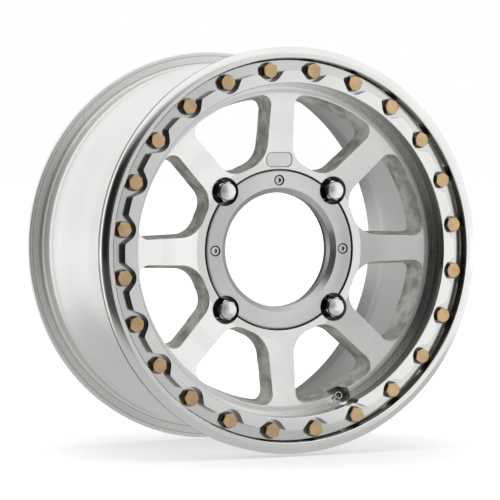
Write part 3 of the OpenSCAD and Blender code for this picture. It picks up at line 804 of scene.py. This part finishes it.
@dataclass(frozen=True)
class BrushedFinish(Finish):
    """Aluminium brushed in one direction, with painted shade on its steep walls."""

    tone: Colour = (0.8, 0.8, 0.79)
    shade: float = 0.9
    shade_share: float = 0.5
    # Painted shade: a dark tone on the steep walls.
    wall_shade_tone: Colour = (0.12, 0.12, 0.11)
    wall_slopes: Pair = (0.8, 0.97)
    roughness: float = 0.34
    roughness_range: Pair = (-0.08, 0.08)
    clouds: float = 120.0
    lines_along: float = 60.0
    lines_across: float = 4200.0
    depth: float = 0.00002

    def make(self) -> Material:
        """Builds the material.

        Returns:
            The material.
        """
        material, canvas, shader = self.start(1.0, self.roughness)
        x, y, z = canvas.parts(canvas.place())
        stretched = canvas.vector(canvas.times(x, self.lines_along), y,
                                  canvas.times(z, self.lines_across))
        lines = canvas.noise(stretched, 1.0, 3.0)
        cloud = canvas.effect(Effect.HANDLED, per_metre=self.clouds).outputs["Cloud"]
        clean = canvas.blend(canvas.times(cloud, self.shade_share), self.tone,
                             dimmed(self.tone, self.shade))
        canvas.plug(canvas.blend(self.wall(canvas, self.wall_slopes), clean, self.wall_shade_tone),
                    shader.inputs["Base Color"])
        canvas.plug(canvas.between(lines, *shifted(self.roughness, self.roughness_range)),
                    shader.inputs["Roughness"])
        self.relief(canvas, shader, lines, self.depth)
        return material


@dataclass(frozen=True)
class RubberFinish(Finish):
    """Matt rubber with a fine moulded grain."""

    tone: Colour = (0.02, 0.02, 0.02)
    bloom: float = 1.6
    roughness: float = 0.6
    roughness_change: float = 0.12
    grain: float = 2500.0
    depth: float = 0.00003

    def make(self) -> Material:
        """Builds the material.

        Returns:
            The material.
        """
        material, canvas, shader = self.start(0.0, self.roughness)
        skin = canvas.effect(Effect.CAST, per_metre=self.grain)
        cloud = skin.outputs["Cloud"]
        canvas.plug(canvas.blend(cloud, self.tone, dimmed(self.tone, self.bloom)),
                    shader.inputs["Base Color"])
        canvas.plug(canvas.between(cloud, self.roughness, self.roughness + self.roughness_change),
                    shader.inputs["Roughness"])
        self.relief(canvas, shader, skin.outputs["Height"], self.depth)
        return material


def dress(node: str, material: Material) -> None:
    """Gives a CAD node its material.

    Args:
        node: the node's name.
        material: the material for all its faces.
    """
    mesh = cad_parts[node].data
    mesh.materials.clear()
    mesh.materials.append(material)
    LOG.info("%s dressed in %s", node, material.name)


@dataclass
class Casting:
    """The one-piece wheel."""

    finish: CastingFinish = CastingFinish(Slot.CASTING, 0.0005)

    def build(self) -> None:
        """Dresses the casting."""
        dress("wheel", self.finish.make())


@dataclass
class BeadClamp:
    """The beadlock ring with its bolts and washers."""

    ring: TurnedFinish = TurnedFinish(Slot.RING, 0.0002, roughness=0.15, stretch=0.3)
    # The bolts' and washers' wall tones are painted shade on their sides.
    bolt: PlatedFinish = PlatedFinish(
        Slot.BOLT, 0.0003, tone=(0.74, 0.52, 0.3), shade=(0.62, 0.43, 0.24), roughness=0.36,
        grain=1400.0, depth=0.00005, wall_shade_tone=(0.14, 0.085, 0.04))
    washer: PlatedFinish = PlatedFinish(
        Slot.WASHER, 0.0002, tone=(0.42, 0.4, 0.35), shade=(0.34, 0.32, 0.27), roughness=0.34,
        grain=1600.0, depth=0.00002, wall_shade_tone=(0.08, 0.07, 0.05))

    def build(self) -> None:
        """Dresses the ring, the bolts and the washers."""
        dress("beadlock_ring", self.ring.make())
        dress("beadlock_bolts", self.bolt.make())
        dress("beadlock_washers", self.washer.make())


@dataclass
class LugSet:
    """The four lug nuts."""

    # The near-black wall tone is painted shade on the nuts' sides.
    chrome: PlatedFinish = PlatedFinish(
        Slot.LUG, 0.0004, tone=(0.84, 0.84, 0.83), shade=(0.78, 0.78, 0.77), roughness=0.13,
        grain=700.0, depth=0.000002, wall_shade_tone=(0.06, 0.06, 0.06))

    def build(self) -> None:
        """Dresses the nuts."""
        dress("lug_nuts", self.chrome.make())


@dataclass
class Centre:
    """The centre ring, its screws and the badge."""

    # Painted shade: the centre ring's edge walls and the screws' walls take dark tones.
    ring: TurnedFinish = TurnedFinish(
        Slot.CENTRE, 0.0003, tone=(0.76, 0.765, 0.75), shade=(0.68, 0.685, 0.67),
        roughness=0.33, stretch=0.85, wall_from=0.0605, wall_slopes=(0.45, 0.985),
        floor_shade=1.0)
    screw: PlatedFinish = PlatedFinish(
        Slot.SCREW, 0.0003, tone=(0.75, 0.75, 0.74), shade=(0.6, 0.6, 0.59), roughness=0.25,
        grain=1800.0, depth=0.00001, wall_shade_tone=(0.07, 0.07, 0.07))
    badge: BrushedFinish = BrushedFinish(Slot.BADGE, 0.0003)

    def build(self) -> None:
        """Dresses the centre ring, its screws and the badge."""
        dress("centre_ring", self.ring.make())
        dress("centre_ring_screws", self.screw.make())
        dress("badge", self.badge.make())


@dataclass
class Valve:
    """The clamp-in valve: its mouth, its axis, its finishes and the thread on its stem."""

    clock: float = 157.5
    lean: float = 25.0
    mouth_radius: float = 0.15
    mouth_along: float = -0.0465
    root: float = 0.00378
    crest: float = 0.00408
    foot_depth: float = 0.0001
    foot_half: float = 0.42
    crest_half: float = 0.08
    pitch: float = 0.0008
    first: float = 0.0007
    last: float = 0.0124
    travel: float = 0.0012
    steps: int = 28
    # Painted shade: the stem's walls take a grey tone.
    chrome: PlatedFinish = PlatedFinish(
        Slot.VALVE, 0.0003, tone=(0.86, 0.86, 0.86), shade=(0.8, 0.8, 0.8), roughness=0.12,
        grain=1500.0, depth=0.000003, wall_shade_tone=(0.25, 0.25, 0.25))
    rubber: RubberFinish = RubberFinish(Slot.RUBBER, 0.0003)
    # The brass is dimmed far below brass's own tone, as painted shade inside the valve's mouth.
    brass: PlatedFinish = PlatedFinish(
        Slot.BRASS, 0.0001, tone=(0.2, 0.15, 0.07), shade=(0.14, 0.1, 0.05), roughness=0.35,
        grain=3000.0, depth=0.000005)
    red: RubberFinish = RubberFinish(Slot.RED, 0.0001, tone=(0.5, 0.03, 0.02))
    steel: PlatedFinish = PlatedFinish(
        Slot.PIN, 0.0001, tone=(0.62, 0.61, 0.6), shade=(0.5, 0.5, 0.49), roughness=0.3,
        grain=3000.0, depth=0.000004)

    def axis(self) -> tuple[Vector, Vector]:
        """Finds the valve's axis.

        Returns:
            The middle of the valve's mouth and the direction inwards.
        """
        clock, lean = math.radians(self.clock), math.radians(self.lean)
        out = Vector((math.sin(clock), 0.0, math.cos(clock)))
        mouth = out * self.mouth_radius + Vector((0.0, self.mouth_along, 0.0))
        return mouth, out * math.sin(lean) + Vector((0.0, math.cos(lean), 0.0))

    def thread(self, chrome: Material) -> Object:
        """Cuts the thread as one ridge wound round the stem.

        Args:
            chrome: the stem's material.

        Returns:
            The thread's object.
        """
        mouth, inwards = self.axis()
        side = inwards.orthogonal().normalized()
        up = inwards.cross(side)
        count = int((self.last - self.first) / self.pitch * self.steps)
        foot = self.root - self.foot_depth
        points: list[Vector] = []
        for i in range(count + 1):
            turn = math.tau * i / self.steps
            ends = min(1.0, i / self.steps, (count - i) / self.steps)
            out = side * math.cos(turn) + up * math.sin(turn)
            centre = mouth + inwards * (self.first + self.pitch * i / self.steps)
            crest = self.root + (self.crest - self.root) * ends
            for radius, shift in ((foot, -self.foot_half), (crest, -self.crest_half),
                                  (crest, self.crest_half), (foot, self.foot_half)):
                points.append(centre + out * radius + inwards * (self.pitch * shift))
        faces: list[Face] = []
        for i in range(count):
            for k in range(4):
                a, b = 4 * i + k, 4 * i + (k + 1) % 4
                faces.append((a, b, b + 4, a + 4))
        faces += [(0, 1, 2, 3), tuple(4 * count + k for k in (3, 2, 1, 0))]
        return add_mesh("stem_thread", points, faces, chrome)

    def shorten(self, spring: Object) -> None:
        """Gives the spring its own copy of its mesh.

        Args:
            spring: the spring's own node.
        """
        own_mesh(spring)

    def build(self) -> None:
        """Dresses the valve's pieces and adds the thread."""
        chrome, rubber, brass, red, steel = (finish.make() for finish in (
            self.chrome, self.rubber, self.brass, self.red, self.steel))
        dressed = {"valve_stem": chrome, "valve_nut": chrome, "valve_washer": chrome,
                   "valve_seal": rubber, "valve_pin_seal": rubber, "valve_core": brass,
                   "valve_core_seal": red, "valve_pin": steel, "valve_spring": steel}
        for node, material in dressed.items():
            dress(node, material)
        self.shorten(bpy.data.objects["valve_spring"])
        thread = self.thread(chrome)
        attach(thread, "wheel")
        LOG.info("stem thread of %d faces", len(thread.data.polygons))


@dataclass(frozen=True)
class Lamp:
    """One soft box, turned to the frame's origin. Gloss doesn't show it."""

    name: str
    place: Place
    width: float
    height: float
    power: float

    def build(self) -> None:
        """Adds the soft box."""
        data = bpy.data.lights.new(self.name, "AREA")
        data.shape = "RECTANGLE"
        data.size, data.size_y, data.energy = self.width, self.height, self.power
        lamp = bpy.data.objects.new(self.name, data)
        lamp.rotation_euler = (-Vector(self.place)).to_track_quat("-Z", "Y").to_euler()
        lamp.location = self.place
        lamp.visible_glossy = False
        bpy.context.scene.collection.objects.link(lamp)


def emit(name: str) -> tuple[Material, Canvas, Node]:
    """Starts a glowing material.

    Args:
        name: the material's name.

    Returns:
        The material, its canvas and its Emission shader.
    """
    material = bpy.data.materials.new(name)
    canvas = clear_canvas(material)
    glow = canvas.add("ShaderNodeEmission")
    canvas.finish(glow)
    return material, canvas, glow


def stage_board(name: str, points: list[Vector], faces: list[Face], material: Material,
                place: Place) -> None:
    """Adds a board of the stage that only the metal's gloss shows.

    Args:
        name: the board's name.
        points: its corners.
        faces: its faces.
        material: its material.
        place: where it stands.
    """
    board = add_mesh(name, points, faces, material)
    board.location = place
    board.visible_camera = board.visible_diffuse = board.visible_shadow = False
    board.visible_transmission = board.visible_volume_scatter = False


@dataclass
class Surround:
    """The boards that the metal's gloss shows: a screen, a board on the floor and a disc.

    The tones go by the bearing in degrees from straight in front: white at the far left, black
    at the front left, then through grey to white at the right.
    """

    tones: tuple[Pair, ...] = (
        (-100.0, 1.0), (-88.0, 1.0), (-74.0, 0.2), (-60.0, 0.015), (-28.0, 0.012),
        (-13.0, 0.16), (0.0, 0.32), (8.0, 0.42), (13.0, 0.53), (17.0, 0.6), (20.0, 0.73),
        (23.0, 0.84), (27.0, 0.95), (31.0, 1.0), (40.0, 1.0))
    radius: float = 2.4
    bottom: float = -0.5
    top: float = 3.0
    fade: Pair = (1.15, 2.9)
    steps: int = 70
    floor_half: float = 2.4
    floor_gap: float = 0.001
    # The grey round the wheel's foot is painted shade of the floor, which only the metal's gloss
    # shows.
    foot_shade_radii: Pair = (0.3, 0.6)
    foot_shade_tone: float = 0.55
    lift_tones: Pair = (0.1, 0.5)
    lifts: Pair = (0.05, 0.35)
    # The disc is painted shade that the barrel's inside mirrors, with a painted bright strip
    # across its middle.
    opening_radius: float = 0.168
    opening_along: float = 0.16
    opening_fade: float = 0.06
    opening_shade_tones: Pair = (0.6, 0.15)
    opening_steps: int = 48

    def tone(self, canvas: Canvas, x: Socket, y: Socket) -> Socket:
        """Looks up the tone for a place.

        Args:
            canvas: the material's canvas.
            x: how far the place is to the right.
            y: how far it is to the back.

        Returns:
            The colour socket.
        """
        low, high = self.tones[0][0], self.tones[-1][0]
        turn = canvas.maths("ARCTAN2", x, canvas.times(y, -1.0))
        ramp = canvas.add("ShaderNodeValToRGB")
        stops = ramp.color_ramp.elements
        while len(stops) < len(self.tones):
            stops.new(1.0)
        for stop, (bearing, tone) in zip(stops, self.tones):
            stop.position = (bearing - low) / (high - low)
            stop.color = (tone, tone, tone, 1.0)
        share = canvas.remap(turn, math.radians(low), math.radians(high), smooth=False)
        canvas.plug(share, ramp.inputs[0])
        return ramp.outputs[0]

    def screen(self) -> None:
        """Adds the curved screen round the front, which fades to white upwards."""
        low, high = self.tones[0][0], self.tones[-1][0]
        points: list[Vector] = []
        for i in range(self.steps + 1):
            turn = math.radians(low + (high - low) * i / self.steps)
            for height in (self.bottom, self.top):
                points.append(Vector((math.sin(turn) * self.radius,
                                      -math.cos(turn) * self.radius, height)))
        faces = [(2 * i, 2 * i + 2, 2 * i + 3, 2 * i + 1) for i in range(self.steps)]
        material, canvas, glow = emit("screen")
        x, y, z = canvas.parts(canvas.place())
        tone = canvas.blend(canvas.remap(z, *self.fade), self.tone(canvas, x, y), WHITE)
        canvas.plug(tone, glow.inputs["Color"])
        stage_board("screen", points, faces, material, (0.0, 0.0, 0.0))

    def floor(self, height: float) -> None:
        """Adds a floor board: grey painted shade by the wheel's foot, like the screen further out.

        Args:
            height: the floor's height.
        """
        material, canvas, glow = emit("floor_board")
        place = canvas.place()
        x, y, _ = canvas.parts(place)
        away = canvas.remap(canvas.distance(place), *self.foot_shade_radii)
        tone = self.tone(canvas, x, y)
        lifted = canvas.blend(canvas.remap(tone, *self.lift_tones, *self.lifts), tone, WHITE)
        canvas.plug(canvas.blend(away, (self.foot_shade_tone,) * 3, lifted), glow.inputs["Color"])
        stage_board("floor_board", square(self.floor_half), [(0, 1, 2, 3)], material,
                    (0.0, 0.0, height + self.floor_gap))

    def back(self) -> None:
        """Adds a dim disc of painted shade behind the rear opening, brightest across its middle.
        """
        material, canvas, glow = emit("back_board")
        off = canvas.maths("ABSOLUTE", canvas.parts(canvas.place())[2])
        canvas.plug(canvas.remap(off, 0.0, self.opening_fade, *self.opening_shade_tones),
                    glow.inputs["Strength"])
        turns = [math.tau * i / self.opening_steps for i in range(self.opening_steps)]
        ring = [Vector((self.opening_radius * math.cos(turn), 0.0,
                        self.opening_radius * math.sin(turn))) for turn in turns]
        stage_board("back_board", ring, [tuple(range(self.opening_steps))], material,
                    (0.0, self.opening_along, 0.0))

    def build(self, height: float) -> None:
        """Adds the three boards.

        Args:
            height: the floor's height.
        """
        self.screen()
        self.floor(height)
        self.back()


@dataclass
class Studio:
    """The pale floor, the white surroundings, the soft boxes and the boards."""

    floor_height: float = -0.1921
    floor_half: float = 30.0
    floor_tone: float = 0.8
    # The glow is weaker near the wheel: painted shade round its foot.
    glow_shade_radii: Pair = (0.13, 0.42)
    glows: Pair = (0.43, 0.8)
    world_light: float = 0.55
    lamps: tuple[Lamp, ...] = (
        Lamp("box_right", (1.9, -1.6, 1.0), 1.6, 1.8, 9.0),
        Lamp("box_top", (-0.2, -0.2, 2.2), 1.8, 1.8, 10.0),
        Lamp("box_left", (-2.0, 1.4, 0.9), 1.4, 1.8, 8.0),
    )

    def world(self) -> None:
        """Sets the world: white to the camera and in gloss, and a plain soft light otherwise."""
        world = bpy.data.worlds.new("studio")
        bpy.context.scene.world = world
        canvas = clear_canvas(world)
        back = canvas.add("ShaderNodeBackground")
        back.inputs["Color"].default_value = (*WHITE, 1.0)
        canvas.plug(canvas.between(canvas.seen(), self.world_light, 1.0), back.inputs["Strength"])
        canvas.finish(back, "ShaderNodeOutputWorld")

    def floor(self) -> None:
        """Adds a wide pale floor that glows to the camera and keeps the shadow."""
        material = bpy.data.materials.new("floor")
        canvas = clear_canvas(material)
        pale = canvas.add("ShaderNodeBsdfDiffuse")
        pale.inputs["Color"].default_value = (*(self.floor_tone,) * 3, 1.0)
        glow = canvas.add("ShaderNodeEmission")
        # Painted shade: the glow is weaker near the wheel, so the floor round its foot is darker.
        rise = canvas.remap(canvas.distance(canvas.place()), *self.glow_shade_radii, *self.glows)
        canvas.plug(canvas.times(canvas.seen(), rise), glow.inputs["Strength"])
        both = canvas.add("ShaderNodeAddShader")
        canvas.plug(pale.outputs[0], both.inputs[0])
        canvas.plug(glow.outputs[0], both.inputs[1])
        canvas.finish(both)
        floor = add_mesh("floor", square(self.floor_half), [(0, 1, 2, 3)], material)
        floor.location.z = self.floor_height

    def build(self) -> None:
        """Sets up the whole studio."""
        self.world()
        self.floor()
        for lamp in self.lamps:
            lamp.build()
        Surround().build(self.floor_height)
        LOG.info("studio ready")


@dataclass
class Portrait:
    """The camera, where the photograph was taken from. Angles are in degrees."""

    azimuth: float = -23.5964
    elevation: float = 1.8697
    roll: float = -0.3078
    distance: float = 2.6011
    focus_px: float = 2768.0458
    frame_px: float = 500.0
    across_px: float = 279.6903
    down_px: float = 249.7289
    target: Place = (0.0, -0.0401, 0.0)
    sensor_mm: float = 36.0
    clip: Pair = (0.05, 100.0)

    def build(self) -> None:
        """Adds the camera and makes it the scene's."""
        azimuth, elevation, roll = (
            math.radians(a) for a in (self.azimuth, self.elevation, self.roll))
        back = Vector((math.sin(azimuth) * math.cos(elevation),
                       -math.cos(azimuth) * math.cos(elevation), math.sin(elevation)))
        right = Vector((0.0, 0.0, 1.0)).cross(back).normalized()
        up = back.cross(right)
        right, up = (right * math.cos(roll) + up * math.sin(roll),
                     up * math.cos(roll) - right * math.sin(roll))
        half = self.frame_px / 2
        turned = (back - right * ((half - self.across_px) / self.focus_px)
                  + up * ((half - self.down_px) / self.focus_px)).normalized()
        side = (right - turned * right.dot(turned)).normalized()
        top = turned.cross(side)
        data = bpy.data.cameras.new("portrait")
        data.sensor_width = self.sensor_mm
        data.lens = self.sensor_mm * self.focus_px / self.frame_px
        data.clip_start, data.clip_end = self.clip
        camera = bpy.data.objects.new("portrait", data)
        camera.matrix_world = Matrix.Translation(
            Vector(self.target) + back * self.distance) @ Matrix(
            (side, top, turned)).transposed().to_4x4()
        bpy.context.scene.collection.objects.link(camera)
        bpy.context.scene.camera = camera
        LOG.info("camera set")


def main() -> None:
    """Builds everything in order.
    """
    logging.basicConfig(level=logging.INFO, format="%(name)s: %(message)s")
    bpy.context.scene.view_settings.view_transform = "Standard"
    Portrait().build()
    EffectShop().build()
    for part in (Casting(), BeadClamp(), LugSet(), Centre(), Valve(), Studio()):
        part.build()
    bpy.context.view_layer.update()


if __name__ == "__main__":
    main()
